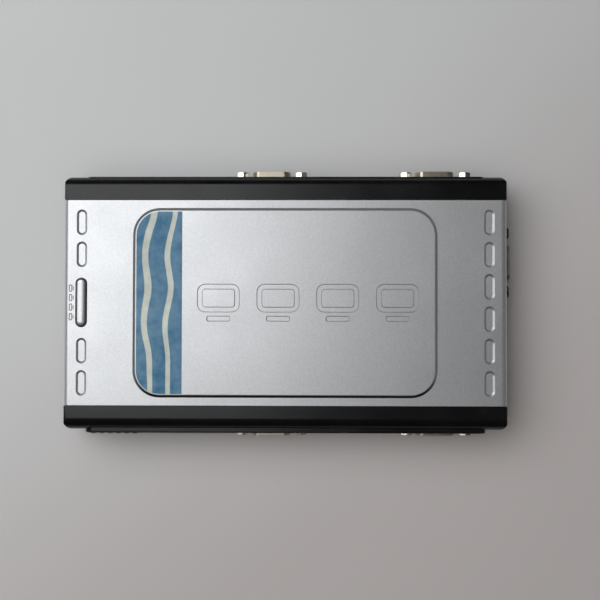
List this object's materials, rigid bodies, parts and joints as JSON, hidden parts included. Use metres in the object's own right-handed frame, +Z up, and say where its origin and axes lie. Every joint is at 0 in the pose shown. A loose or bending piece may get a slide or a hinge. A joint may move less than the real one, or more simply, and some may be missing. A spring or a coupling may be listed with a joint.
{
  "type": "kvm switch",
  "caption": "Flat desktop KVM switch: silver cover with a raised panel between black side rails, a port button, and video, keyboard and mouse sockets round its sides.",
  "frame": {"origin": "on the table below the middle of the whole object's box", "axes": "+Z up, +X along the case towards the console sockets, +Y towards the rear long side"},
  "size_m": [0.188, 0.1116, 0.0259],
  "materials": {
    "silver_paint": "moulded plastic with satin metallic silver paint",
    "black_plastic": "satin black moulded plastic with a fine grain",
    "label_print": "printed film label in blue and cream",
    "plated_steel": "bright tin-plated sheet steel",
    "nickel_brass": "nickel-plated brass, turned",
    "blue_plastic": "blue moulded socket plastic",
    "purple_plastic": "purple moulded socket plastic",
    "green_plastic": "green moulded socket plastic",
    "circuit_board": "green solder mask over glass fibre laminate",
    "chip_plastic": "black moulded component plastic",
    "capacitor_sleeve": "dark printed sleeve over an aluminium can",
    "lamp_plastic": "pale green tinted clear plastic",
    "zinc_steel": "zinc-plated steel",
    "foot_rubber": "dark grey moulded rubber"
  },
  "bodies": {
    "case": {"top_cover": "silver_paint", "front_rail": "black_plastic", "rear_rail": "black_plastic", "bottom_case": "black_plastic", "label": "label_print", "vga_shell_pc1": "plated_steel", "vga_shell_pc2": "plated_steel", "vga_shell_pc3": "plated_steel", "vga_shell_pc4": "plated_steel", "vga_shell_console": "plated_steel", "vga_board_locks": "plated_steel", "switch_frame": "plated_steel", "crystal": "plated_steel", "vga_jackscrews": "nickel_brass", "vga_insulator_pc1": "blue_plastic", "vga_insulator_pc2": "blue_plastic", "vga_insulator_pc3": "blue_plastic", "vga_insulator_pc4": "blue_plastic", "vga_insulator_console": "blue_plastic", "keyboard_socket_pc1": "purple_plastic", "keyboard_socket_pc2": "purple_plastic", "keyboard_socket_pc3": "purple_plastic", "keyboard_socket_pc4": "purple_plastic", "keyboard_socket_console": "purple_plastic", "keyboard_core_pc1": "purple_plastic", "keyboard_core_pc2": "purple_plastic", "keyboard_core_pc3": "purple_plastic", "keyboard_core_pc4": "purple_plastic", "keyboard_core_console": "purple_plastic", "mouse_socket_pc1": "green_plastic", "mouse_socket_pc2": "green_plastic", "mouse_socket_pc3": "green_plastic", "mouse_socket_pc4": "green_plastic", "mouse_socket_console": "green_plastic", "mouse_core_pc1": "green_plastic", "mouse_core_pc2": "green_plastic", "mouse_core_pc3": "green_plastic", "mouse_core_pc4": "green_plastic", "mouse_core_console": "green_plastic", "main_board": "circuit_board", "controller_chip": "chip_plastic", "video_switch_chips": "chip_plastic", "logic_chips": "chip_plastic", "regulator": "chip_plastic", "buzzer": "chip_plastic", "switch_base": "chip_plastic", "capacitors": "capacitor_sleeve", "indicator_leds": "lamp_plastic", "indicator_lenses": "lamp_plastic", "case_screws": "zinc_steel", "board_screws": "zinc_steel", "rubber_feet": "foot_rubber"},
    "button": {"port_button": "silver_paint"},
    "plunger": {"switch_plunger": "chip_plastic"}
  },
  "joints": [
    {"name": "button_press", "type": "slide", "parent": "case", "child": "button", "axis": [0, 0, -1], "range_m": [0, 0.0006], "stiffness_N_per_m": 2600},
    {"name": "plunger_press", "type": "slide", "parent": "case", "child": "plunger", "axis": [0, 0, -1], "range_m": [0, 0.0006]}
  ],
  "couplings": [
    {"joint": "plunger_press", "follows": "button_press", "ratio": 1}
  ]
}
